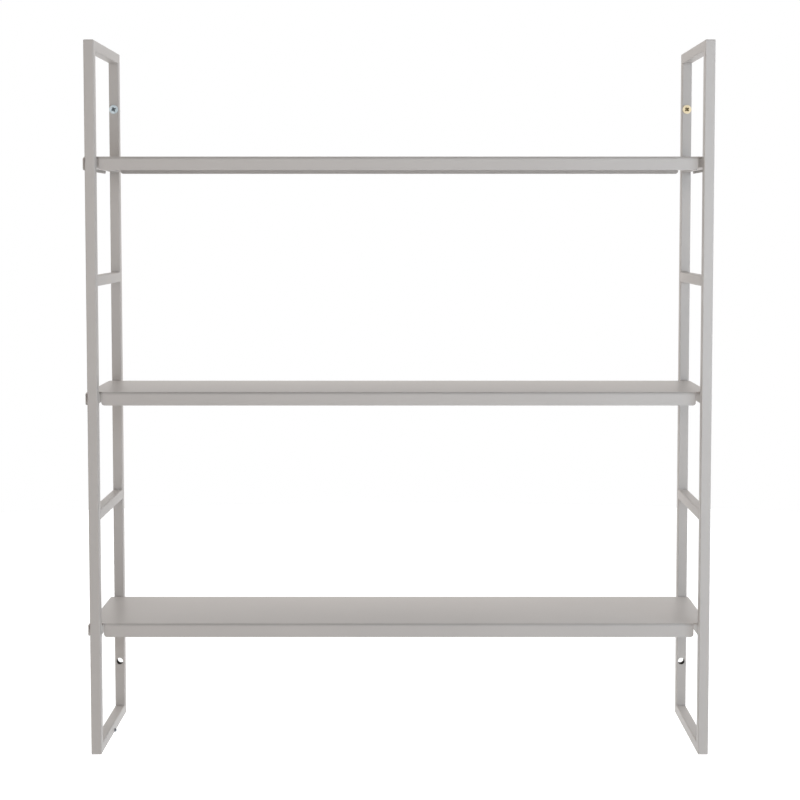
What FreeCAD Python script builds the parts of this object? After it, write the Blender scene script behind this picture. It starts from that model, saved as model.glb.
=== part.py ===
import FreeCAD, Part
import math
import os
import Sketcher
from FreeCAD import Placement, Rotation, Vector

# Wall shelf: two welded ladder frames of square tube and three folded sheet shelves that hook over the rungs.
# Millimetres. X runs to the right, Y towards the wall and Z up. The origin is on the wall, midway between the
# two upper screw holes that the shelf hangs from.

DIMENSIONS = {
    # outside of the two frames together
    "frame_width": 600.0,
    "frame_height": 690.0,
    "frame_depth": 150.0,
    # square tube of every frame member
    "tube_width": 10.0,
    "tube_wall": 1.0,
    "tube_radius": 1.2,
    # rounding of the ground weld over an outer mitred corner
    "weld_round": 1.0,
    # rungs: bottom rail to first rung, then from rung to rung, centre to centre
    "first_rung_rise": 115.3,
    "rung_pitch": 113.4,
    # wall holes through the back posts
    "hole_inset": 57.0,
    "hole_width": 7.0,
    # folded sheet of a shelf
    "sheet": 1.0,
    "lip_bend": 2.0,
    "hook_bend": 2.0,
    "flange_drop": 13.0,
    "corner_round": 3.0,
    # room round a shelf: to the posts, to a rung's outer face, and from lip end to frame
    "post_gap": 1.0,
    "hook_gap": 2.25,
    "lip_gap": 2.65,
    # how far the shelves lie to the left of the middle, within their side play
    "side_shift": 1.0,
    # countersunk wall screw
    "screw_head": 9.0,
    "screw_rim": 0.4,
    "screw_shank": 4.5,
    "screw_length": 35.0,
    "screw_point": 5.0,
    "recess_span": 4.6,
    "recess_slot": 1.0,
    "recess_depth": 2.0,
    "screw_clearance": 0.02,
    # dome of the rivet in the left bottom rail
    "rivet_head": 3.6,
    "rivet_rise": 1.8,
    "rivet_shank": 2.0,
    "rivet_height": 2.2,
    "rivet_setback": 76.0,
}

SHELF_RUNGS = {"bottom_shelf": 1, "middle_shelf": 3, "top_shelf": 5}
RUNG_COUNT = 5

doc = FreeCAD.newDocument("wall_shelf")
dims = doc.addObject("Spreadsheet::Sheet", "dims")
for row, (alias, value) in enumerate(DIMENSIONS.items(), start=1):
    dims.set(f"A{row}", alias)
    dims.set(f"B{row}", str(value))
    dims.setAlias(f"B{row}", alias)
doc.recompute()


def size(alias):
    return float(dims.get(alias))


def new_body(label):
    body = doc.addObject("PartDesign::Body", label)
    body.Label = label
    return body


def origin_part(body, role):
    return next(item for item in body.Origin.OriginFeatures if item.Role == role)


def new_sketch(body, name, plane):
    sketch = body.newObject("Sketcher::SketchObject", name)
    sketch.AttachmentSupport = [(origin_part(body, plane), "")]
    sketch.MapMode = "FlatFace"
    return sketch


def drive(sketch, constraint, name, expression):
    index = sketch.addConstraint(constraint)
    sketch.renameConstraint(index, name)
    sketch.setExpression(f"Constraints.{name}", expression)


def line(x0, y0, x1, y1):
    return Part.LineSegment(Vector(x0, y0, 0), Vector(x1, y1, 0))


def arc(x, y, radius, start, end):
    circle = Part.Circle(Vector(x, y, 0), Vector(0, 0, 1), radius)
    return Part.ArcOfCircle(circle, math.radians(start), math.radians(end))


def place(body, x, y, z, rotation=None):
    body.Placement = Placement(Vector(0, 0, 0), rotation or Rotation())
    body.setExpression("Placement.Base.x", x)
    body.setExpression("Placement.Base.y", y)
    body.setExpression("Placement.Base.z", z)


# Closed outline through corner points, each side straight; returns the ids of its sides
def add_polygon(sketch, points):
    following = points[1:] + points[:1]
    sides = sketch.addGeometry([line(*a, *b) for a, b in zip(points, following)])
    for first, second in zip(sides, sides[1:] + sides[:1]):
        sketch.addConstraint(Sketcher.Constraint("Coincident", first, 2, second, 1))
    return sides


# Square centred on the sketch's origin, with rounded corners
def add_rounded_square(sketch, prefix, width, radius, width_expression, radius_expression):
    half = width / 2
    flat = half - radius
    ids = sketch.addGeometry([
        line(-flat, -half, flat, -half),
        arc(flat, -flat, radius, 270, 360),
        line(half, -flat, half, flat),
        arc(flat, flat, radius, 0, 90),
        line(flat, half, -flat, half),
        arc(-flat, flat, radius, 90, 180),
        line(-half, flat, -half, -flat),
        arc(-flat, -flat, radius, 180, 270),
    ])
    bottom, right, top, left = ids[0::2]
    corners = ids[1::2]
    for first, second in zip(ids, ids[1:] + ids[:1]):
        sketch.addConstraint(Sketcher.Constraint("Tangent", first, 2, second, 1))
    for side in (bottom, top):
        sketch.addConstraint(Sketcher.Constraint("Horizontal", side))
    for side in (right, left):
        sketch.addConstraint(Sketcher.Constraint("Vertical", side))
    for corner in corners[1:]:
        sketch.addConstraint(Sketcher.Constraint("Equal", corners[0], corner))
    sketch.addConstraint(Sketcher.Constraint("Symmetric", corners[0], 3, corners[2], 3, -1, 1))
    sketch.addConstraint(Sketcher.Constraint("Equal", bottom, right))
    drive(sketch, Sketcher.Constraint("DistanceX", left, 1, right, 1, width), prefix + "_width", width_expression)
    drive(sketch, Sketcher.Constraint("Radius", corners[0], radius), prefix + "_radius", radius_expression)


# Square centred on the sketch's origin, with sharp corners
def add_square(sketch, prefix, width, width_expression):
    half = width / 2
    bottom, right, top, left = add_polygon(sketch, [(-half, -half), (half, -half), (half, half), (-half, half)])
    for side in (bottom, top):
        sketch.addConstraint(Sketcher.Constraint("Horizontal", side))
    for side in (right, left):
        sketch.addConstraint(Sketcher.Constraint("Vertical", side))
    sketch.addConstraint(Sketcher.Constraint("Equal", bottom, right))
    sketch.addConstraint(Sketcher.Constraint("Symmetric", bottom, 1, top, 1, -1, 1))
    drive(sketch, Sketcher.Constraint("DistanceX", bottom, 1, bottom, 2, width), prefix + "_width", width_expression)


# Hollow square tube along the body's own Z, from 0 to its length
def pad_tube(body, length):
    wall = size("tube_wall")
    profile = new_sketch(body, body.Label + "_profile", "XY_Plane")
    add_rounded_square(profile, "outer", size("tube_width"), size("tube_radius"),
                       "dims.tube_width", "dims.tube_radius")
    add_square(profile, "inner", size("tube_width") - 2 * wall, "dims.tube_width - 2 * dims.tube_wall")
    pad = body.newObject("PartDesign::Pad", body.Label + "_pad")
    pad.Profile = profile
    pad.setExpression("Length", length)
    doc.recompute()
    return pad


# Cut through everything on both sides of the sketch
def pocket_through(body, sketch, both_sides=True):
    pocket = body.newObject("PartDesign::Pocket", sketch.Name + "_cut")
    pocket.Profile = sketch
    pocket.Type = "ThroughAll"
    pocket.SideType = "Symmetric" if both_sides else "One side"
    before = body.Shape.Volume
    doc.recompute()
    if body.Shape.Volume >= before:
        raise RuntimeError(f"{sketch.Name} cut nothing")
    return pocket


# Wedge that leaves a 45 degree mitre with its outer corner rounded; the long side of the tube is at -Y
def add_mitre(sketch, end, inward, name, end_expression):
    width = size("tube_width")
    half = width / 2
    radius = size("weld_round")
    nick = radius * (1 - math.cos(math.radians(45)))
    turn = (180, 225) if inward > 0 else (135, 180)
    stub, outside, inside, slope, corner = sketch.addGeometry([
        line(-half, end + inward * radius, -half, end),
        line(-half, end, half, end),
        line(half, end, half, end + inward * width),
        line(half, end + inward * width, nick - half, end + inward * nick),
        arc(radius - half, end + inward * radius, radius, *turn),
    ])
    corner_on_stub, corner_on_slope = (1, 2) if inward > 0 else (2, 1)
    for first, second in ((stub, outside), (outside, inside), (inside, slope)):
        sketch.addConstraint(Sketcher.Constraint("Coincident", first, 2, second, 1))
    sketch.addConstraint(Sketcher.Constraint("Coincident", slope, 2, corner, corner_on_slope))
    sketch.addConstraint(Sketcher.Constraint("Tangent", stub, 1, corner, corner_on_stub))
    for upright in (stub, inside):
        sketch.addConstraint(Sketcher.Constraint("Vertical", upright))
    sketch.addConstraint(Sketcher.Constraint("Equal", outside, inside))
    sketch.addConstraint(Sketcher.Constraint("Symmetric", outside, 1, outside, 2, -2))
    sketch.addConstraint(Sketcher.Constraint("PointOnObject", outside, 1, slope))
    sketch.addConstraint(Sketcher.Constraint("PointOnObject", corner, 3, slope))
    drive(sketch, Sketcher.Constraint("DistanceX", outside, 1, outside, 2, width), name + "_width",
          "dims.tube_width")
    drive(sketch, Sketcher.Constraint("Radius", corner, radius), name + "_round", "dims.weld_round")
    if end:
        drive(sketch, Sketcher.Constraint("DistanceY", -1, 1, outside, 1, end), name + "_end", end_expression)
    else:
        sketch.addConstraint(Sketcher.Constraint("PointOnObject", outside, 1, -1))


# Post or rail: a tube mitred at both ends, so that four of them close a frame
def make_mitred_tube(label, length):
    body = new_body(label)
    pad_tube(body, f"dims.{length}")
    mitres = new_sketch(body, label + "_mitres", "YZ_Plane")
    add_mitre(mitres, 0.0, 1, "lower", "0")
    add_mitre(mitres, size(length), -1, "upper", f"dims.{length}")
    pocket_through(body, mitres)
    return body


# Two holes through the front and rear walls of a back post
def drill_wall_holes(body):
    sketch = new_sketch(body, body.Label + "_holes", "XZ_Plane")
    radius = size("hole_width") / 2
    heights = {
        "lower": (size("hole_inset"), "dims.hole_inset"),
        "upper": (size("frame_height") - size("hole_inset"), "dims.frame_height - dims.hole_inset"),
    }
    for name, (height, expression) in heights.items():
        hole = sketch.addGeometry(Part.Circle(Vector(0, height, 0), Vector(0, 0, 1), radius))
        sketch.addConstraint(Sketcher.Constraint("PointOnObject", hole, 3, -2))
        drive(sketch, Sketcher.Constraint("DistanceY", -1, 1, hole, 3, height), name + "_height", expression)
        drive(sketch, Sketcher.Constraint("Radius", hole, radius), name + "_radius", "dims.hole_width / 2")
    pocket_through(body, sketch)


# One hole through the inner wall of the left bottom rail, for the rivet
def drill_rivet_hole(rail):
    sketch = new_sketch(rail, rail.Label + "_rivet_hole", "YZ_Plane")
    radius = size("rivet_shank") / 2
    rise = size("rivet_height") - size("tube_width") / 2
    along = size("rivet_setback")
    hole = sketch.addGeometry(Part.Circle(Vector(rise, along, 0), Vector(0, 0, 1), radius))
    drive(sketch, Sketcher.Constraint("DistanceX", hole, 3, -1, 1, -rise), "rise",
          "dims.tube_width / 2 - dims.rivet_height")
    drive(sketch, Sketcher.Constraint("DistanceY", -1, 1, hole, 3, along), "along", "dims.rivet_setback")
    drive(sketch, Sketcher.Constraint("Radius", hole, radius), "radius", "dims.rivet_shank / 2")
    pocket_through(rail, sketch, both_sides=False)


# Four mitred members and five rungs; side is -1 for the left frame and 1 for the right
def make_frame(name, side):
    x = f"{side} * (dims.frame_width - dims.tube_width) / 2"
    front = "-dims.frame_depth"
    bottom = "dims.hole_inset - dims.frame_height"
    half_tube = "dims.tube_width / 2"
    members = [
        make_mitred_tube(name + "_front_post", "frame_height"),
        make_mitred_tube(name + "_back_post", "frame_height"),
        make_mitred_tube(name + "_top_rail", "frame_depth"),
        make_mitred_tube(name + "_bottom_rail", "frame_depth"),
    ]
    front_post, back_post, top_rail, bottom_rail = members
    drill_wall_holes(back_post)
    if side < 0:
        drill_rivet_hole(bottom_rail)
    place(front_post, x, f"{front} + {half_tube}", bottom)
    place(back_post, x, f"-{half_tube}", bottom, Rotation(Vector(0, 0, 1), 180))
    place(top_rail, x, front, f"dims.hole_inset - {half_tube}", Rotation(Vector(1, 0, 0), -90))
    place(bottom_rail, x, front, f"{bottom} + {half_tube}", Rotation(Vector(0, 1, 1), 180))
    for number in range(1, RUNG_COUNT + 1):
        rung = new_body(f"{name}_rung_{number}")
        pad_tube(rung, "dims.frame_depth - 2 * dims.tube_width")
        height = f"{bottom} + {half_tube} + dims.first_rung_rise + {number - 1} * dims.rung_pitch"
        place(rung, x, f"{front} + dims.tube_width", height, Rotation(Vector(1, 0, 0), -90))
        members.append(rung)
    return members


# Section of a sheet folded down at both ends with round bends; its underside lies on the sketch's X axis
def add_channel(sketch, span, span_expression, bend_size):
    sheet = size("sheet")
    inner = size(bend_size)
    outer = inner + sheet
    half = span / 2
    bend = half - outer
    foot = sheet - size("flange_drop")
    ids = sketch.addGeometry([
        line(-half, foot, -half, -inner),
        arc(-bend, -inner, outer, 90, 180),
        line(-bend, sheet, bend, sheet),
        arc(bend, -inner, outer, 0, 90),
        line(half, -inner, half, foot),
        line(half, foot, half - sheet, foot),
        line(half - sheet, foot, half - sheet, -inner),
        arc(bend, -inner, inner, 0, 90),
        line(bend, 0, -bend, 0),
        arc(-bend, -inner, inner, 90, 180),
        line(sheet - half, -inner, sheet - half, foot),
        line(sheet - half, foot, -half, foot),
    ])
    (left_out, left_bend, top, right_bend, right_out, right_foot,
     right_in, right_inner_bend, under, left_inner_bend, left_in, left_foot) = ids
    smooth_joints = [
        (left_out, 2, left_bend, 2), (left_bend, 1, top, 1), (top, 2, right_bend, 2), (right_bend, 1, right_out, 1),
        (right_in, 2, right_inner_bend, 1), (right_inner_bend, 2, under, 1), (under, 2, left_inner_bend, 1),
        (left_inner_bend, 2, left_in, 1),
    ]
    corners = [
        (right_out, 2, right_foot, 1), (right_foot, 2, right_in, 1), (left_in, 2, left_foot, 1),
        (left_foot, 2, left_out, 1), (left_bend, 3, left_inner_bend, 3), (right_bend, 3, right_inner_bend, 3),
    ]
    for joint in smooth_joints:
        sketch.addConstraint(Sketcher.Constraint("Tangent", *joint))
    for corner in corners:
        sketch.addConstraint(Sketcher.Constraint("Coincident", *corner))
    for side in (left_out, right_out, left_in, right_in):
        sketch.addConstraint(Sketcher.Constraint("Vertical", side))
    for side in (left_foot, right_foot):
        sketch.addConstraint(Sketcher.Constraint("Horizontal", side))
    sketch.addConstraint(Sketcher.Constraint("Symmetric", top, 1, top, 2, -2))
    for left, right in ((left_foot, right_foot), (left_out, right_out), (left_inner_bend, right_inner_bend)):
        sketch.addConstraint(Sketcher.Constraint("Equal", left, right))
    sketch.addConstraint(Sketcher.Constraint("PointOnObject", under, 1, -1))
    drive(sketch, Sketcher.Constraint("DistanceX", left_out, 1, right_out, 2, span), "span", span_expression)
    drive(sketch, Sketcher.Constraint("DistanceX", left_foot, 2, left_foot, 1, sheet), "sheet", "dims.sheet")
    drive(sketch, Sketcher.Constraint("Radius", right_inner_bend, inner), "bend", f"dims.{bend_size}")
    drive(sketch, Sketcher.Constraint("DistanceY", right_foot, 1, top, 2, size("flange_drop")), "drop",
          "dims.flange_drop")


def pad_both_ways(body, sketch, length):
    pad = body.newObject("PartDesign::Pad", sketch.Name + "_pad")
    pad.Profile = sketch
    pad.SideType = "Symmetric"
    pad.setExpression("Length", length)
    doc.recompute()
    return pad


# Short edges across the sheet at the lower corners of the lips and flanges
def lower_corner_edges(shape):
    sheet = size("sheet")
    foot = sheet - size("flange_drop")
    names = []
    for number, edge in enumerate(shape.Edges, start=1):
        low = abs(edge.BoundBox.ZMax - foot) < 0.01
        if low and abs(edge.Length - sheet) < 0.01:
            names.append(f"Edge{number}")
    return names


# Shelf: one channel folded front and rear, crossed by one folded at both ends, with its lower corners rounded
def make_shelf(label, rung):
    body = new_body(label)
    depth = "dims.frame_depth - 2 * dims.tube_width - 2 * dims.post_gap"
    lip_length = "dims.frame_width - 2 * dims.tube_width - 2 * dims.lip_gap"
    hook_span = "dims.frame_width + 2 * dims.hook_gap + 2 * dims.sheet"
    bends = "2 * (dims.sheet + dims.lip_bend)"
    lips = new_sketch(body, label + "_lips", "YZ_Plane")
    shelf_depth = size("frame_depth") - 2 * size("tube_width") - 2 * size("post_gap")
    add_channel(lips, shelf_depth, depth, "lip_bend")
    pad_both_ways(body, lips, lip_length)
    hooks = new_sketch(body, label + "_hooks", "XZ_Plane")
    add_channel(hooks, size("frame_width") + 2 * size("hook_gap") + 2 * size("sheet"), hook_span, "hook_bend")
    folded = pad_both_ways(body, hooks, f"{depth} - {bends}")
    rounds = body.newObject("PartDesign::Fillet", label + "_corners")
    rounds.Base = (folded, lower_corner_edges(folded.Shape))
    rounds.setExpression("Radius", "dims.corner_round")
    rung_top = (f"dims.hole_inset - dims.frame_height + dims.tube_width + dims.first_rung_rise"
                f" + {rung - 1} * dims.rung_pitch")
    place(body, "-dims.side_shift", "-dims.frame_depth / 2", rung_top)
    return body


# Solid turned about the body's own Z from half a section
def revolve(body, sketch):
    turned = body.newObject("PartDesign::Revolution", sketch.Name + "_turned")
    turned.Profile = sketch
    turned.ReferenceAxis = (origin_part(body, "Z_Axis"), [""])
    turned.Angle = 360
    doc.recompute()
    return turned


# Countersunk screw, head's face at Z 0 and point down, with a cross recess
def make_screw(label, side):
    body = new_body(label)
    head = size("screw_head") / 2
    rim = size("screw_rim")
    shank = size("screw_shank") / 2
    length = size("screw_length")
    point = size("screw_point")
    section = new_sketch(body, label + "_section", "XZ_Plane")
    face, edge, cone, side_wall, tip, axis = add_polygon(section, [
        (0, 0), (head, 0), (head, -rim), (shank, -rim - head + shank), (shank, point - length), (0, -length),
    ])
    section.addConstraint(Sketcher.Constraint("Coincident", face, 1, -1, 1))
    section.addConstraint(Sketcher.Constraint("Horizontal", face))
    for upright in (edge, side_wall, axis):
        section.addConstraint(Sketcher.Constraint("Vertical", upright))
    drive(section, Sketcher.Constraint("DistanceX", face, 1, face, 2, head), "head", "dims.screw_head / 2")
    drive(section, Sketcher.Constraint("DistanceY", edge, 2, edge, 1, rim), "rim", "dims.screw_rim")
    drive(section, Sketcher.Constraint("DistanceX", cone, 2, cone, 1, head - shank), "cone_in",
          "(dims.screw_head - dims.screw_shank) / 2")
    drive(section, Sketcher.Constraint("DistanceY", cone, 2, cone, 1, head - shank), "cone_down",
          "(dims.screw_head - dims.screw_shank) / 2")
    drive(section, Sketcher.Constraint("DistanceY", axis, 1, axis, 2, length), "length", "dims.screw_length")
    drive(section, Sketcher.Constraint("DistanceY", tip, 2, tip, 1, point), "point", "dims.screw_point")
    revolve(body, section)
    slot_span = size("recess_span")
    slot_width = size("recess_slot")
    recess = new_sketch(body, label + "_recess", "XY_Plane")
    near, right, far, left = add_polygon(recess, [
        (-slot_span / 2, -slot_width / 2), (slot_span / 2, -slot_width / 2),
        (slot_span / 2, slot_width / 2), (-slot_span / 2, slot_width / 2),
    ])
    for level in (near, far):
        recess.addConstraint(Sketcher.Constraint("Horizontal", level))
    for upright in (right, left):
        recess.addConstraint(Sketcher.Constraint("Vertical", upright))
    recess.addConstraint(Sketcher.Constraint("Symmetric", near, 1, far, 1, -1, 1))
    drive(recess, Sketcher.Constraint("DistanceX", near, 1, near, 2, slot_span), "slot_span", "dims.recess_span")
    drive(recess, Sketcher.Constraint("DistanceY", right, 1, right, 2, slot_width), "slot_width",
          "dims.recess_slot")
    slot = body.newObject("PartDesign::Pocket", label + "_slot")
    slot.Profile = recess
    slot.setExpression("Length", "dims.recess_depth")
    doc.recompute()
    cross = body.newObject("PartDesign::PolarPattern", label + "_cross")
    cross.Originals = [slot]
    cross.Axis = (origin_part(body, "Z_Axis"), [""])
    cross.Angle = 360
    cross.Occurrences = 4
    body.Tip = cross
    x = f"{side} * (dims.frame_width - dims.tube_width) / 2"
    proud = "dims.screw_rim + (dims.screw_head - dims.hole_width) / 2 + dims.screw_clearance"
    place(body, x, f"-dims.tube_width - ({proud})", "0", Rotation(Vector(1, 0, 0), 90))
    return body


# Domed rivet in the inner face of the left bottom rail, dome towards the other frame
def make_rivet():
    body = new_body("rail_rivet")
    head = size("rivet_head") / 2
    rise = size("rivet_rise")
    shank = size("rivet_shank") / 2
    wall = size("tube_wall")
    section = new_sketch(body, "rail_rivet_section", "XZ_Plane")
    dome_radius = (head * head + rise * rise) / (2 * rise)
    dome_centre = rise - dome_radius
    start = math.degrees(math.atan2(-dome_centre, head))
    foot, shank_side, seat, axis = section.addGeometry([
        line(0, -wall, shank, -wall),
        line(shank, -wall, shank, 0),
        line(shank, 0, head, 0),
        line(0, rise, 0, -wall),
    ])
    dome = section.addGeometry(arc(0, dome_centre, dome_radius, start, 90))
    for first, second in ((foot, shank_side), (shank_side, seat), (seat, dome), (dome, axis), (axis, foot)):
        section.addConstraint(Sketcher.Constraint("Coincident", first, 2, second, 1))
    section.addConstraint(Sketcher.Constraint("PointOnObject", dome, 3, -2))
    section.addConstraint(Sketcher.Constraint("PointOnObject", axis, 1, -2))
    section.addConstraint(Sketcher.Constraint("PointOnObject", axis, 2, -2))
    section.addConstraint(Sketcher.Constraint("PointOnObject", seat, 2, -1))
    for level in (foot, seat):
        section.addConstraint(Sketcher.Constraint("Horizontal", level))
    section.addConstraint(Sketcher.Constraint("Vertical", shank_side))
    drive(section, Sketcher.Constraint("DistanceX", foot, 1, foot, 2, shank), "shank", "dims.rivet_shank / 2")
    drive(section, Sketcher.Constraint("DistanceY", shank_side, 1, shank_side, 2, wall), "wall", "dims.tube_wall")
    drive(section, Sketcher.Constraint("DistanceX", -1, 1, seat, 2, head), "head", "dims.rivet_head / 2")
    drive(section, Sketcher.Constraint("DistanceY", -1, 1, axis, 1, rise), "rise", "dims.rivet_rise")
    revolve(body, section)
    place(body, "-dims.frame_width / 2 + dims.tube_width", "-dims.frame_depth + dims.rivet_setback",
          "dims.hole_inset - dims.frame_height + dims.rivet_height", Rotation(Vector(0, 1, 0), 90))
    return body


pieces = make_frame("left", -1) + make_frame("right", 1)
pieces += [make_shelf(label, rung) for label, rung in SHELF_RUNGS.items()]
pieces += [make_screw("left_wall_screw", -1), make_screw("right_wall_screw", 1), make_rivet()]
doc.recompute()

# Nothing is written unless every feature and every solid is sound
for item in doc.Objects:
    if "Invalid" in item.State or "Error" in item.State:
        raise RuntimeError(f"{item.Label} failed: {item.State}")
    if item.TypeId == "Sketcher::SketchObject" and not item.FullyConstrained:
        raise RuntimeError(f"{item.Label} is not fully constrained")
for piece in pieces:
    if piece.Shape.isNull() or not piece.Shape.isValid() or len(piece.Shape.Solids) != 1:
        raise RuntimeError(f"{piece.Label} is not one sound solid")

os.makedirs("parts", exist_ok=True)
for piece in pieces:
    piece.Shape.exportStep(f"parts/{piece.Label}.step")
    print(f"{piece.Label}: {piece.Shape.Volume:.1f} mm3")
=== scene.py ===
from math import atan, cos, pi, radians, sin, tau

import bmesh
import bpy
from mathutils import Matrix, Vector


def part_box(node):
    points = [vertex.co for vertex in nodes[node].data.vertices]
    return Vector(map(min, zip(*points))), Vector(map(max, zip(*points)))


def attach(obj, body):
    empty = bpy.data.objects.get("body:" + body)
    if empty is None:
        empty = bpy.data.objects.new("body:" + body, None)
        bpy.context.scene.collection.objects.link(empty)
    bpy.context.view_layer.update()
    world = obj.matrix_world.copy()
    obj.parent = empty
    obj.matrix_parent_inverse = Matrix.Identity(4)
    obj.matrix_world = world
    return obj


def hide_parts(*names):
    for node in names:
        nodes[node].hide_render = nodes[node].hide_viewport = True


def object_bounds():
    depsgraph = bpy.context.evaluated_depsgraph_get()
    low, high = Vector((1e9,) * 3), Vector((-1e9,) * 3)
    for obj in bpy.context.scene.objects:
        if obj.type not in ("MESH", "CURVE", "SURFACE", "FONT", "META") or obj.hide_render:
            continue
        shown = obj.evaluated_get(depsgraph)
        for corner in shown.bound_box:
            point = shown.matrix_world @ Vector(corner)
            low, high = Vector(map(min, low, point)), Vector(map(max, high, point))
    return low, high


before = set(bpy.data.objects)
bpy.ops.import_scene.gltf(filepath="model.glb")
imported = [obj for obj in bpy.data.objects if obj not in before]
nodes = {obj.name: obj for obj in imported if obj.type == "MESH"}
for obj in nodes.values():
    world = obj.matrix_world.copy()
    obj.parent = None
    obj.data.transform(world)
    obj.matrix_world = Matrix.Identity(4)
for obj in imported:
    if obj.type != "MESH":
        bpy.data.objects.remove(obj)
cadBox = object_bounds()
scene = bpy.context.scene
scene.view_settings.view_transform = "Standard"


# small helpers shared by the materials, the node trees and the meshes

def feed(tree, sockets, values):
    # a value that is another node's socket is wired in, any other is set
    for name, value in values.items():
        if isinstance(value, bpy.types.NodeSocket):
            tree.links.new(value, sockets[name])
        elif sockets[name].type == "RGBA":
            sockets[name].default_value = (*value, 1.0)
        else:
            sockets[name].default_value = value


def addNode(tree, kind, values=None, **settings):
    node = tree.nodes.new(kind)
    for name, setting in settings.items():
        setattr(node, name, setting)
    feed(tree, node.inputs, values or {})
    return node


def byIdentifier(sockets):
    # for nodes where several sockets share a name
    return {socket.identifier: socket for socket in sockets}


def addMath(tree, operation, *values):
    return addNode(tree, "ShaderNodeMath", dict(enumerate(values)), operation=operation).outputs[0]


def addVector(tree, x=0.0, y=0.0, z=0.0):
    return addNode(tree, "ShaderNodeCombineXYZ", {"X": x, "Y": y, "Z": z}).outputs[0]


def splitVector(tree, vector):
    return addNode(tree, "ShaderNodeSeparateXYZ", {"Vector": vector}).outputs


def linkToScene(obj):
    scene.collection.objects.link(obj)
    return obj


def smoothByAngle(mesh, degrees):
    bm = bmesh.new()
    bm.from_mesh(mesh)
    for face in bm.faces:
        face.smooth = True
    for edge in bm.edges:
        edge.smooth = edge.is_manifold and edge.calc_face_angle(0.0) < radians(degrees)
    bm.to_mesh(mesh)
    bm.free()


def newMesh(name, bm):
    mesh = bpy.data.meshes.new(name)
    bm.to_mesh(mesh)
    bm.free()
    return mesh


def meshFromRings(name, rings):
    # rings of equal count are bridged with quads, a ring of one point is a pole
    bm = bmesh.new()
    levels = [[bm.verts.new(point) for point in ring] for ring in rings]
    for one, other in zip(levels, levels[1:]):
        count = max(len(one), len(other))
        for i in range(count):
            j = (i + 1) % count
            corners = [one[i % len(one)], one[j % len(one)], other[j % len(other)], other[i % len(other)]]
            bm.faces.new(list(dict.fromkeys(corners)))
    bmesh.ops.recalc_face_normals(bm, faces=bm.faces)
    return newMesh(name, bm)


# camera: almost level, a little right of the middle, eyes just under the top shelf

photoCamera = {
    "imageSize": 800,
    "focalPixels": 1753.5,
    "sensor": 36.0,
    "place": (0.0110, -1.8266, -0.1180),
    "tiltDown": 3.645,
    "shiftX": -0.01375,
    "shiftY": -0.08,
    "clipStart": 0.05,
    "clipEnd": 60.0,
}


def placeCamera(look):
    data = bpy.data.cameras.new("photoCamera")
    data.sensor_width = look["sensor"]
    data.lens = look["focalPixels"] * look["sensor"] / look["imageSize"]
    data.shift_x = look["shiftX"]
    data.shift_y = look["shiftY"]
    data.clip_start = look["clipStart"]
    data.clip_end = look["clipEnd"]
    camera = linkToScene(bpy.data.objects.new("photoCamera", data))
    camera.location = look["place"]
    camera.rotation_euler = (radians(90.0 - look["tiltDown"]), 0.0, 0.0)
    scene.camera = camera


placeCamera(photoCamera)
print("camera placed")


# finishes

white = (1.0, 1.0, 1.0)
offToOn = (0.0, 1.0)
onToOff = (1.0, 0.0)

# most values of a noise lie in its usual range
noiseLook = {
    "roughness": 0.55,
    "usual": (0.3, 0.7),
}

# the corners that stay coated are measured in tube widths
# painted shade: the near-black colour inside the back posts stands in for the shade in the tubes, over bare
# steel
shadedBareSteel = {
    "colour": (0.06, 0.055, 0.05),
    "halfWall": 0.0005,
    "cornerTubes": 1.1,
}

powderCoat = {
    "colour": (0.458, 0.424, 0.399),
    "cloudSpread": 0.025,
    "cloudDetail": 3.0,
    "speckSpread": 0.02,
    "speckRange": (0.55, 0.80),
    "roughness": (0.36, 0.40),
    "ior": 1.56,
    "peelSize": 0.0012,
    "peelDetail": 2.0,
    "grainSize": 0.0003,
    "grainDetail": 1.0,
    "grainShare": 0.35,
    "bumpDepth": 0.00002,
    "bumpStrength": 0.05,
}

coatLooks = {
    "frameCoat": powderCoat | {"cloudSize": 0.11, "shadedBare": shadedBareSteel},
    "shelfCoat": powderCoat | {"cloudSize": 0.16},
}

# the painted recess shade is measured from the screws' faces, the wall from the origin
zincPlate = {
    "patchDetail": 3.0,
    "scratchDetail": 2.0,
    "bumpDepth": 0.00002,
    "bumpStrength": 0.35,
    "recessShadeDepth": (0.0003, 0.0012),
    "wallDepth": (-0.002, -0.001),
}

platingLooks = {
    "blueZinc": zincPlate | {
        "dark": (0.44, 0.53, 0.58),
        "light": (0.66, 0.75, 0.80),
        "shadow": (0.22, 0.26, 0.28),
        "roughness": (0.28, 0.42),
        "patchSize": 0.0022,
        "scratchSize": 0.0003,
    },
    "yellowZinc": zincPlate | {
        "dark": (0.83, 0.71, 0.45),
        "light": (0.97, 0.90, 0.69),
        "shadow": (0.34, 0.29, 0.18),
        "roughness": (0.28, 0.42),
        "patchSize": 0.0026,
        "scratchSize": 0.0003,
    },
    "dullZinc": zincPlate | {
        "dark": (0.10, 0.12, 0.14),
        "light": (0.24, 0.26, 0.29),
        "shadow": (0.04, 0.05, 0.06),
        "roughness": (0.34, 0.50),
        "patchSize": 0.0014,
        "scratchSize": 0.00025,
    },
}


def newMaterial(name):
    material = bpy.data.materials.new(name)
    material.use_nodes = True
    return material, material.node_tree, material.node_tree.nodes["Principled BSDF"].inputs


def objectCoords(tree):
    return addNode(tree, "ShaderNodeTexCoord").outputs["Object"]


def addNoise(tree, coords, size, detail):
    values = {"Vector": coords, "Scale": 1.0 / size, "Detail": detail, "Roughness": noiseLook["roughness"]}
    return addNode(tree, "ShaderNodeTexNoise", values).outputs["Fac"]


def addRange(tree, value, fromRange, toRange):
    values = {"Value": value, "From Min": fromRange[0], "From Max": fromRange[1],
              "To Min": toRange[0], "To Max": toRange[1]}
    return addNode(tree, "ShaderNodeMapRange", values).outputs["Result"]


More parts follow.
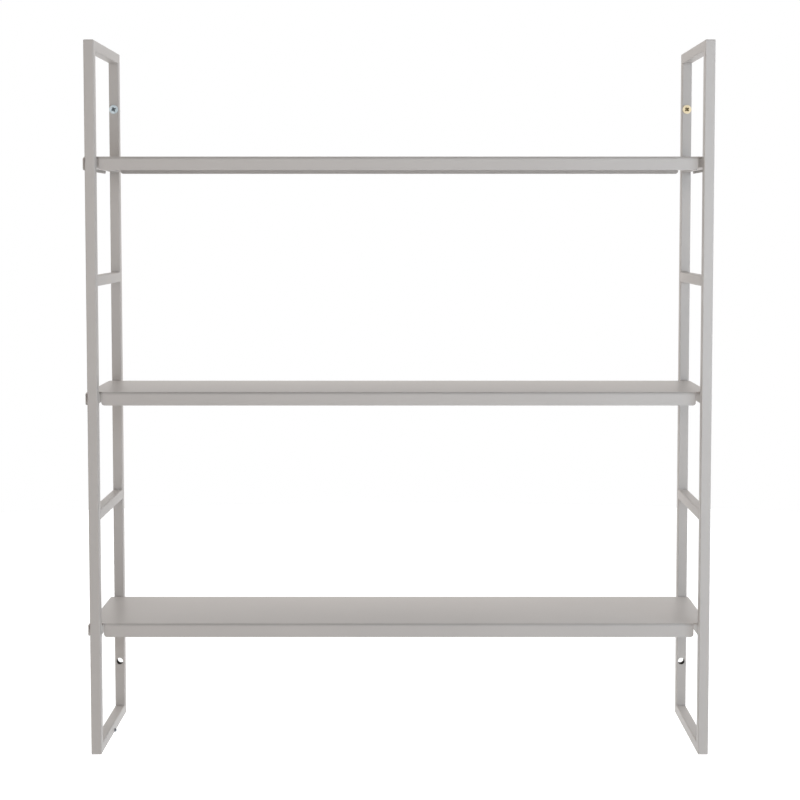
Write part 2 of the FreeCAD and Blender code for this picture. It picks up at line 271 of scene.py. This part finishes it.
def addColourMix(tree, factor, first, second):
    node = addNode(tree, "ShaderNodeMix", data_type="RGBA")
    feed(tree, byIdentifier(node.inputs), {"Factor_Float": factor, "A_Color": first, "B_Color": second})
    return byIdentifier(node.outputs)["Result_Color"]


def addBump(tree, height, look):
    values = {"Height": height, "Strength": look["bumpStrength"], "Distance": look["bumpDepth"]}
    return addNode(tree, "ShaderNodeBump", values).outputs["Normal"]


def shaded(colour, amount):
    return tuple(channel * amount for channel in colour)


def insideBackPosts(tree, coords, look):
    # 1 inside the two back posts, where the coat doesn't reach, as the open holes show; the near-black
    # colour there is painted shade on the bare steel
    low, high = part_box("right_back_post")
    middle = 0.5 * (low + high)
    half = 0.5 * (high - low)
    axes = splitVector(tree, coords)
    fromMiddle = addMath(tree, "ABSOLUTE", axes["X"])
    insideX = addMath(tree, "COMPARE", fromMiddle, middle.x, half.x - look["halfWall"])
    insideY = addMath(tree, "COMPARE", axes["Y"], middle.y, half.y - look["halfWall"])
    # the mitred corners' outer faces stay coated
    corner = look["cornerTubes"] * (high.x - low.x)
    insideZ = addMath(tree, "COMPARE", axes["Z"], middle.z, half.z - corner)
    return addMath(tree, "MULTIPLY", addMath(tree, "MULTIPLY", insideX, insideY), insideZ)


def makeCoat(name, look):
    # baked powder coat: one soft grey-beige, a fine orange peel and a finer grain
    material, tree, surface = newMaterial(name)
    coords = objectCoords(tree)
    cloud = addNoise(tree, coords, look["cloudSize"], look["cloudDetail"])
    peel = addNoise(tree, coords, look["peelSize"], look["peelDetail"])
    grain = addNoise(tree, coords, look["grainSize"], look["grainDetail"])
    darker = shaded(look["colour"], 1.0 - look["cloudSpread"])
    lighter = shaded(look["colour"], 1.0 + look["cloudSpread"])
    cloudy = addRange(tree, cloud, noiseLook["usual"], offToOn)
    base = addColourMix(tree, cloudy, darker, lighter)
    speck = addRange(tree, grain, look["speckRange"], offToOn)
    coat = addColourMix(tree, speck, base, shaded(look["colour"], 1.0 - look["speckSpread"]))
    # bare steel inside the back posts, darkened to near black as painted shade
    if "shadedBare" in look:
        inside = insideBackPosts(tree, coords, look["shadedBare"])
        coat = addColourMix(tree, inside, coat, look["shadedBare"]["colour"])
    smooth = addMath(tree, "MULTIPLY", peel, 1.0 - look["grainShare"])
    height = addMath(tree, "MULTIPLY_ADD", grain, look["grainShare"], smooth)
    feed(tree, surface, {
        "Base Color": coat,
        "Roughness": addRange(tree, peel, noiseLook["usual"], look["roughness"]),
        "IOR": look["ior"],
        "Normal": addBump(tree, height, look),
    })
    return material


def paintedRecessShade(tree, coords, look):
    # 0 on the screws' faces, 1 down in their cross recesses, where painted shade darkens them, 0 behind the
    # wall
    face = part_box("left_wall_screw")[0].y
    depth = splitVector(tree, coords)["Y"]
    shadedDeep = addRange(tree, depth, [face + step for step in look["recessShadeDepth"]], offToOn)
    beforeWall = addRange(tree, depth, look["wallDepth"], onToOff)
    return addMath(tree, "MULTIPLY", shadedDeep, beforeWall)


def makePlating(name, look):
    # zinc plating: patches that take the light differently, with fine handling marks
    material, tree, surface = newMaterial(name)
    coords = objectCoords(tree)
    patch = addNoise(tree, coords, look["patchSize"], look["patchDetail"])
    scratch = addNoise(tree, coords, look["scratchSize"], look["scratchDetail"])
    patchy = addRange(tree, patch, noiseLook["usual"], offToOn)
    plate = addColourMix(tree, patchy, look["dark"], look["light"])
    feed(tree, surface, {
        # painted shade: the cross recesses are darkened toward the shadow colour
        "Base Color": addColourMix(tree, paintedRecessShade(tree, coords, look), plate, look["shadow"]),
        "Roughness": addRange(tree, scratch, noiseLook["usual"], look["roughness"]),
        "Metallic": 1.0,
        "Normal": addBump(tree, scratch, look),
    })
    return material


coats = {name: makeCoat(name, look) for name, look in coatLooks.items()}
platings = {name: makePlating(name, look) for name, look in platingLooks.items()}

shelfNodes = ("bottom_shelf", "middle_shelf", "top_shelf")
for name, node in nodes.items():
    for slot in node.material_slots:
        slot.material = coats["shelfCoat" if name in shelfNodes else "frameCoat"]
print("finishes on", len(nodes), "solids")


# geometry node trees: sizes come in through named inputs

def newTree(name, inputs):
    tree = bpy.data.node_groups.new(name, "GeometryNodeTree")
    for label, kind in inputs.items():
        tree.interface.new_socket(name=label, in_out="INPUT", socket_type="NodeSocket" + kind)
    tree.interface.new_socket(name="Result", in_out="OUTPUT", socket_type="NodeSocketGeometry")
    return tree, addNode(tree, "NodeGroupInput").outputs


def endTree(tree, geometry, material):
    finish = addNode(tree, "GeometryNodeSetMaterial", {"Geometry": geometry, "Material": material})
    addNode(tree, "NodeGroupOutput", {"Result": finish.outputs[0]})


def growFromTree(name, startMesh, tree, values, sharpAngle):
    # runs the tree once on startMesh and keeps the outcome as a plain mesh at the origin
    piece = linkToScene(bpy.data.objects.new(name, startMesh))
    grow = piece.modifiers.new("grow", "NODES")
    grow.node_group = tree
    for item in tree.interface.items_tree:
        if item.in_out == "INPUT" and item.name in values:
            grow[item.identifier] = values[item.name]
    bpy.context.view_layer.update()
    evaluated = piece.evaluated_get(bpy.context.evaluated_depsgraph_get())
    grown = bpy.data.meshes.new_from_object(evaluated)
    piece.modifiers.remove(grow)
    piece.data = grown
    grown.name = name
    bpy.data.meshes.remove(startMesh)
    smoothByAngle(grown, sharpAngle)
    return piece


# weld beads in the inner corners: each rung against its posts, and each mitred corner

weldBeads = {
    "length": 0.0078,
    "radius": 0.0012,
    "sink": 0.0003,
    "ripplePitch": 0.0012,
    "rippleDepth": 0.10,
    "taperFrom": 1.02,
    "taperPower": 7.0,
    "lump": 0.00022,
    "lumpSize": 0.0016,
    "lumpDetail": 1.0,
    "seed": 7,
    "sections": 34,
    "sides": 12,
    "rungs": 5,
    "sharpAngle": 60.0,
}


def addBead(tree, given, look):
    # one bead along X: rippled, and drawn in at both ends
    half = addMath(tree, "MULTIPLY", given["Length"], 0.5)
    ends = {"Start": addVector(tree, addMath(tree, "MULTIPLY", half, -1.0)), "End": addVector(tree, half)}
    line = addNode(tree, "GeometryNodeCurvePrimitiveLine", ends)
    path = addNode(tree, "GeometryNodeResampleCurve", {"Curve": line.outputs[0], "Count": look["sections"]})
    along = addNode(tree, "GeometryNodeSplineParameter").outputs
    turns = addMath(tree, "DIVIDE", along["Length"], given["Ripple Pitch"])
    wave = addMath(tree, "SINE", addMath(tree, "MULTIPLY", turns, tau))
    ripple = addMath(tree, "MULTIPLY_ADD", wave, given["Ripple Depth"], 1.0)
    fromMiddle = addMath(tree, "ABSOLUTE", addMath(tree, "MULTIPLY_ADD", along["Factor"], 2.0, -1.0))
    drawnIn = addMath(tree, "POWER", fromMiddle, look["taperPower"])
    taper = addMath(tree, "SQRT", addMath(tree, "SUBTRACT", look["taperFrom"], drawnIn))
    thickness = addMath(tree, "MULTIPLY", addMath(tree, "MULTIPLY", ripple, taper), given["Radius"])
    ring = addNode(tree, "GeometryNodeCurvePrimitiveCircle", {"Resolution": look["sides"], "Radius": 1.0})
    return addNode(tree, "GeometryNodeCurveToMesh", {
        "Curve": path.outputs[0], "Profile Curve": ring.outputs[0], "Scale": thickness, "Fill Caps": True,
    }).outputs[0]


def buildWeldTree(look):
    tree, given = newTree("weldBeads", {
        "Corners": "Geometry", "Length": "Float", "Radius": "Float", "Ripple Pitch": "Float",
        "Ripple Depth": "Float", "Lump": "Float", "Lump Size": "Float", "Seed": "Int", "Coat": "Material"})
    spin = addNode(tree, "FunctionNodeRandomValue", data_type="FLOAT")
    feed(tree, byIdentifier(spin.inputs), {"Min_001": 0.0, "Max_001": tau, "Seed": given["Seed"]})
    turned = addVector(tree, byIdentifier(spin.outputs)["Value_001"])
    stand = addNode(tree, "GeometryNodeInstanceOnPoints", {
        "Points": given["Corners"], "Instance": addBead(tree, given, look), "Rotation": turned})
    beads = addNode(tree, "GeometryNodeRealizeInstances", {"Geometry": stand.outputs[0]})
    # each bead gets its own lumps
    noise = addNode(tree, "ShaderNodeTexNoise", {
        "Vector": addNode(tree, "GeometryNodeInputPosition").outputs[0],
        "Scale": addMath(tree, "DIVIDE", 1.0, given["Lump Size"]),
        "Detail": look["lumpDetail"]})
    swell = addMath(tree, "MULTIPLY", addMath(tree, "SUBTRACT", noise.outputs["Fac"], 0.5), given["Lump"])
    outward = addNode(tree, "ShaderNodeVectorMath", {
        0: addNode(tree, "GeometryNodeInputNormal").outputs[0],
        "Scale": addMath(tree, "MULTIPLY", swell, 2.0)}, operation="SCALE")
    push = addNode(tree, "GeometryNodeSetPosition", {
        "Geometry": beads.outputs[0], "Offset": outward.outputs[0]})
    endTree(tree, push.outputs[0], given["Coat"])
    return tree


def weldCorners(look):
    # every inner corner line of the two frames, as its middle point
    sink = look["sink"]
    corners = []
    for side in ("left", "right"):
        frontLow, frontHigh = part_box(side + "_front_post")
        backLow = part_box(side + "_back_post")[0]
        middle = 0.5 * (frontLow.x + frontHigh.x)
        frontInner = frontHigh.y - sink
        backInner = backLow.y + sink
        heights = []
        for number in range(1, look["rungs"] + 1):
            low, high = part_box(f"{side}_rung_{number}")
            heights += [low.z + sink, high.z - sink]
        heights.append(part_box(side + "_bottom_rail")[1].z - sink)
        heights.append(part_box(side + "_top_rail")[0].z + sink)
        corners += [(middle, depth, height) for height in heights for depth in (frontInner, backInner)]
    return corners


def makeWelds(look):
    start = bpy.data.meshes.new("weldCorners")
    start.from_pydata(weldCorners(look), [], [])
    values = {"Length": look["length"], "Radius": look["radius"], "Ripple Pitch": look["ripplePitch"],
              "Ripple Depth": look["rippleDepth"], "Lump": look["lump"], "Lump Size": look["lumpSize"],
              "Seed": look["seed"], "Coat": coats["frameCoat"]}
    piece = growFromTree("weld_beads", start, buildWeldTree(look), values, look["sharpAngle"])
    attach(piece, "frames")
    print("weld beads:", len(piece.data.polygons), "faces")


makeWelds(weldBeads)


# wall screws: countersunk heads with a tapered cross recess, threaded to the point

wallScrew = {
    "headRadius": 0.0045,
    "edgeBreak": 0.00015,
    "rim": 0.0004,
    "backPoint": 0.0004,
    "crossHalfSpan": 0.0024,
    "crossHalfWidth": 0.00085,
    "crossTaper": 0.55,
    "crossDepth": 0.0022,
    "crossPoint": 0.0003,
    "crossLipDepth": 0.00012,
    "crossLipScale": 0.96,
    "armSteps": 3,
    "hollowSteps": 4,
    "angleSlack": 1e-9,
    "shankGap": 0.0004,
    "coreRadius": 0.00155,
    "threadDepth": 0.0007,
    "threadPitch": 0.0021,
    "threadFlank": 0.30,
    "threadCrest": 0.86,
    "pointLength": 0.0055,
    "capLength": 0.00001,
    "joinDistance": 0.000001,
    "around": 32,
    "along": 300,
    "sharpAngle": 32.0,
    "turned": {"left": 24.0, "right": 41.0},
    "finish": {"left": "blueZinc", "right": "yellowZinc"},
    "slot": {"left": "zinc_screw", "right": "yellow_zinc_screw"},
}


def buildScrewTree(look):
    # a rolled-up grid: round the screw along X, down the screw along Y
    tree, given = newTree("threadedShank", {
        "Head": "Geometry", "Length": "Float", "Core Radius": "Float", "Thread Depth": "Float",
        "Pitch": "Float", "Flank": "Float", "Point": "Float", "Start": "Vector", "Finish": "Material"})
    grid = addNode(tree, "GeometryNodeMeshGrid", {
        "Size X": 1.0, "Size Y": 1.0, "Vertices X": look["around"] + 1, "Vertices Y": look["along"] + 1})
    axes = splitVector(tree, addNode(tree, "GeometryNodeInputPosition").outputs[0])
    turn = addMath(tree, "ADD", axes["X"], 0.5)
    down = addMath(tree, "MULTIPLY", addMath(tree, "ADD", axes["Y"], 0.5), given["Length"])
    phase = addMath(tree, "SUBTRACT", addMath(tree, "DIVIDE", down, given["Pitch"]), turn)
    offCrest = addMath(tree, "ABSOLUTE", addMath(tree, "SUBTRACT", addMath(tree, "FRACT", phase), 0.5))
    flank = addMath(tree, "SUBTRACT", 1.0, addMath(tree, "DIVIDE", offCrest, given["Flank"]))
    ridge = addMath(tree, "MINIMUM", addMath(tree, "MAXIMUM", flank, 0.0), look["threadCrest"])
    toTip = addMath(tree, "SUBTRACT", given["Length"], down)
    narrow = addMath(tree, "MINIMUM", addMath(tree, "DIVIDE", toTip, given["Point"]), 1.0)
    # the first row closes to a point, inside the head
    begun = addMath(tree, "GREATER_THAN", down, look["capLength"])
    thick = addMath(tree, "MULTIPLY_ADD", ridge, given["Thread Depth"], given["Core Radius"])
    reach = addMath(tree, "MULTIPLY", addMath(tree, "MULTIPLY", thick, narrow), begun)
    angle = addMath(tree, "MULTIPLY", turn, -tau)
    across = addMath(tree, "MULTIPLY", addMath(tree, "COSINE", angle), reach)
    up = addMath(tree, "MULTIPLY", addMath(tree, "SINE", angle), reach)
    roll = addNode(tree, "GeometryNodeSetPosition", {
        "Geometry": grid.outputs["Mesh"], "Position": addVector(tree, across, down, up)})
    closed = addNode(tree, "GeometryNodeMergeByDistance", {
        "Geometry": roll.outputs[0], "Distance": look["joinDistance"]})
    shank = addNode(tree, "GeometryNodeTransform", {
        "Geometry": closed.outputs[0], "Translation": given["Start"]})
    both = addNode(tree, "GeometryNodeJoinGeometry")
    for part in (shank.outputs[0], given["Head"]):
        feed(tree, both.inputs, {"Geometry": part})
    endTree(tree, both.outputs[0], given["Finish"])
    return tree


def crossAngles(look):
    # directions that hit every corner of the cross, with a few between
    lean = atan(look["crossHalfWidth"] / look["crossHalfSpan"])
    armEnd = [lean * step / look["armSteps"] for step in range(look["armSteps"])]
    hollow = [lean + (pi / 4.0 - lean) * step / look["hollowSteps"] for step in range(look["hollowSteps"])]
    eighth = armEnd + hollow
    quarter = eighth + [pi / 4.0] + [pi / 2.0 - angle for angle in reversed(eighth[1:])]
    return lean, [angle + pi / 2.0 * turn for turn in range(4) for angle in quarter]


def crossReach(angle, lean, look):
    fold = angle % (pi / 2.0)
    fold = min(fold, pi / 2.0 - fold)
    if fold <= lean + look["angleSlack"]:
        return look["crossHalfSpan"] / cos(fold)
    return look["crossHalfWidth"] / sin(fold)


def screwHeadMesh(side, look):
    low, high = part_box(side + "_wall_screw")
    middle = 0.5 * (low + high)
    face = low.y
    lean, angles = crossAngles(look)
    turned = radians(look["turned"][side])

    def poleAt(depth):
        return [Vector((middle.x, face + depth, middle.z))]

    def ringAt(depth, radii):
        return [Vector((middle.x + radius * cos(angle + turned), face + depth,
                        middle.z + radius * sin(angle + turned))) for angle, radius in zip(angles, radii)]

    def roundAt(depth, radius):
        return ringAt(depth, [radius] * len(angles))

    def crossAt(depth, scale):
        return ringAt(depth, [scale * crossReach(angle, lean, look) for angle in angles])

    edge = look["edgeBreak"]
    coneEnd = look["rim"] + look["headRadius"] - look["coreRadius"]
    crossEnd = look["crossDepth"] + look["crossPoint"]
    mesh = meshFromRings(side + "ScrewHead", [
        poleAt(crossEnd),
        crossAt(look["crossDepth"], look["crossTaper"]),
        crossAt(look["crossLipDepth"], look["crossLipScale"]),
        crossAt(0.0, 1.0),
        roundAt(0.0, look["headRadius"] - edge),
        roundAt(edge, look["headRadius"]),
        roundAt(look["rim"], look["headRadius"]),
        roundAt(coneEnd, look["coreRadius"]),
        poleAt(coneEnd + look["backPoint"]),
    ])
    start = Vector((middle.x, face + crossEnd + look["shankGap"], middle.z))
    return mesh, start, high.y - start.y


def makeWallScrews(look):
    tree = buildScrewTree(look)
    for side in ("left", "right"):
        head, start, length = screwHeadMesh(side, look)
        values = {"Length": length, "Core Radius": look["coreRadius"], "Thread Depth": look["threadDepth"],
                  "Pitch": look["threadPitch"], "Flank": look["threadFlank"], "Point": look["pointLength"],
                  "Start": start, "Finish": platings[look["finish"][side]]}
        piece = growFromTree(side + "_threaded_screw", head, tree, values, look["sharpAngle"])
        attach(piece, "frames")
        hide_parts(side + "_wall_screw")
        print(side, "wall screw:", len(piece.data.polygons), "faces")


makeWallScrews(wallScrew)


# the small blind rivet on the left bottom rail

railRivet = {
    "flangeEdge": 0.0003,
    "domeSteps": 8,
    "domePower": 2.2,
    "mandrelRadius": 0.00065,
    "mandrelDepth": 0.0005,
    "mandrelRise": 0.00015,
    "mandrelShoulder": 0.55,
    "mouthFlare": 1.12,
    "shankRadius": 0.0010,
    "shankBevel": 0.0002,
    "shankTip": 0.8,
    "around": 28,
    "sharpAngle": 38.0,
}


def makeRivet(look):
    low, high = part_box("rail_rivet")
    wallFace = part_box("left_bottom_rail")[1].x
    middle = 0.5 * (low + high)
    radius = 0.5 * (high.z - low.z)
    turns = [tau * i / look["around"] for i in range(look["around"])]

    def poleAt(x):
        return [Vector((x, middle.y, middle.z))]

    def ringAt(x, reach):
        return [Vector((x, middle.y + reach * cos(turn), middle.z + reach * sin(turn))) for turn in turns]

    hole = look["mandrelRadius"]
    mouth = hole * look["mouthFlare"]
    holeEnd = high.x - look["mandrelDepth"]
    rimFace = wallFace + look["flangeEdge"]
    rings = [
        poleAt(holeEnd + look["mandrelRise"]),
        ringAt(holeEnd, look["mandrelShoulder"] * hole),
        ringAt(holeEnd, hole),
    ]
    for step in range(look["domeSteps"] + 1):
        share = step / look["domeSteps"]
        rise = (high.x - rimFace) * (1.0 - share ** look["domePower"])
        rings.append(ringAt(rimFace + rise, mouth + (radius - mouth) * share))
    rings += [
        ringAt(wallFace, radius),
        ringAt(wallFace, look["shankRadius"]),
        ringAt(low.x + look["shankBevel"], look["shankRadius"]),
        ringAt(low.x, look["shankTip"] * look["shankRadius"]),
        poleAt(low.x),
    ]
    mesh = meshFromRings("blind_rivet", rings)
    mesh.materials.append(platings["dullZinc"])
    smoothByAngle(mesh, look["sharpAngle"])
    piece = linkToScene(bpy.data.objects.new("blind_rivet", mesh))
    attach(piece, "frames")
    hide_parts("rail_rivet")
    print("rivet:", len(mesh.polygons), "faces")


makeRivet(railRivet)


# soft studio: a white wall's glow behind, a warm panel far in front, a cool lamp on the right, a pale floor

studio = {
    "skyFront": 0.05,
    "skyBack": 1.47,
    "skyBlend": 0.10,
    "mirrorTint": (1.0, 0.965, 0.94),
    "mirrorWhiteTo": 0.55,
    "mirrorDarkFrom": 0.80,
    "mirrorCeiling": 0.20,
    "floorDrop": 0.90,
    "floorRadius": 7.0,
    "floorSides": 96,
    "floorShade": 0.70,
    "floorRoughness": 0.9,
    "floorLift": 0.68,
}

lamps = {
    "keyLamp": {
        "place": (0.78, -1.00, -0.16),
        "aim": (0.20, -0.075, -0.16),
        "width": 0.8,
        "height": 0.6,
        "power": 6.8,
        "colour": (0.85, 1.0, 1.14),
    },
    "frontPanel": {
        "place": (-0.60, -3.20, 0.12),
        "aim": (0.0, -0.075, -0.25),
        "width": 2.3,
        "height": 1.2,
        "power": 38.0,
        "colour": (1.0, 0.96, 0.925),
    },
}


def seenDirectly(tree):
    # 1 for what the eye, a mirror or a lens looks at, 0 for the light on the object
    rays = addNode(tree, "ShaderNodeLightPath").outputs
    mirrored = addMath(tree, "MAXIMUM", rays["Is Camera Ray"], rays["Is Glossy Ray"])
    return addMath(tree, "MAXIMUM", mirrored, rays["Is Transmission Ray"])


def makeRoom(look):
    world = bpy.data.worlds.new("whiteRoom")
    world.use_nodes = True
    scene.world = world
    tree = world.node_tree
    tree.nodes.clear()
    axes = splitVector(tree, addNode(tree, "ShaderNodeTexCoord").outputs["Generated"])
    # the light comes from behind, as off a white wall, more than from the front, where the lamps are
    blend = (-look["skyBlend"], look["skyBlend"])
    glow = addRange(tree, axes["Y"], blend, (look["skyFront"], look["skyBack"]))
    light = addNode(tree, "ShaderNodeBackground", {"Color": white, "Strength": glow})
    # seen by eye it is white, and a reflection finds it warmer, and darker overhead
    byEye = addNode(tree, "ShaderNodeLightPath").outputs["Is Camera Ray"]
    fade = (look["mirrorWhiteTo"], look["mirrorDarkFrom"])
    overhead = addRange(tree, axes["Z"], fade, (1.0, look["mirrorCeiling"]))
    shine = addNode(tree, "ShaderNodeBackground", {
        "Color": addColourMix(tree, byEye, look["mirrorTint"], white),
        "Strength": addMath(tree, "MAXIMUM", overhead, byEye)})
    choose = addNode(tree, "ShaderNodeMixShader", {
        0: seenDirectly(tree), 1: light.outputs[0], 2: shine.outputs[0]})
    addNode(tree, "ShaderNodeOutputWorld", {"Surface": choose.outputs[0]})


def makeLamp(name, look):
    data = bpy.data.lights.new(name, "AREA")
    data.shape = "RECTANGLE"
    data.size = look["width"]
    data.size_y = look["height"]
    data.energy = look["power"]
    data.color = look["colour"]
    lamp = linkToScene(bpy.data.objects.new(name, data))
    lamp.location = look["place"]
    toObject = Vector(look["aim"]) - Vector(look["place"])
    lamp.rotation_euler = toObject.to_track_quat("-Z", "Y").to_euler()
    lamp.visible_camera = False
    lamp.visible_glossy = False


def makeFloor(look):
    bm = bmesh.new()
    bmesh.ops.create_circle(bm, cap_ends=True, segments=look["floorSides"], radius=look["floorRadius"])
    bmesh.ops.translate(bm, verts=bm.verts, vec=(0.0, 0.0, cadBox[0][2] - look["floorDrop"]))
    mesh = newMesh("paleFloor", bm)
    material, tree, surface = newMaterial("paleFloor")
    feed(tree, surface, {
        "Base Color": shaded(white, look["floorShade"]),
        "Roughness": look["floorRoughness"],
        "Specular IOR Level": 0.0,
        "Emission Color": white,
        "Emission Strength": addMath(tree, "MULTIPLY", seenDirectly(tree), look["floorLift"]),
    })
    mesh.materials.append(material)
    floor = linkToScene(bpy.data.objects.new("paleFloor", mesh))


makeRoom(studio)
for name, look in lamps.items():
    makeLamp(name, look)
makeFloor(studio)
print("studio lit")
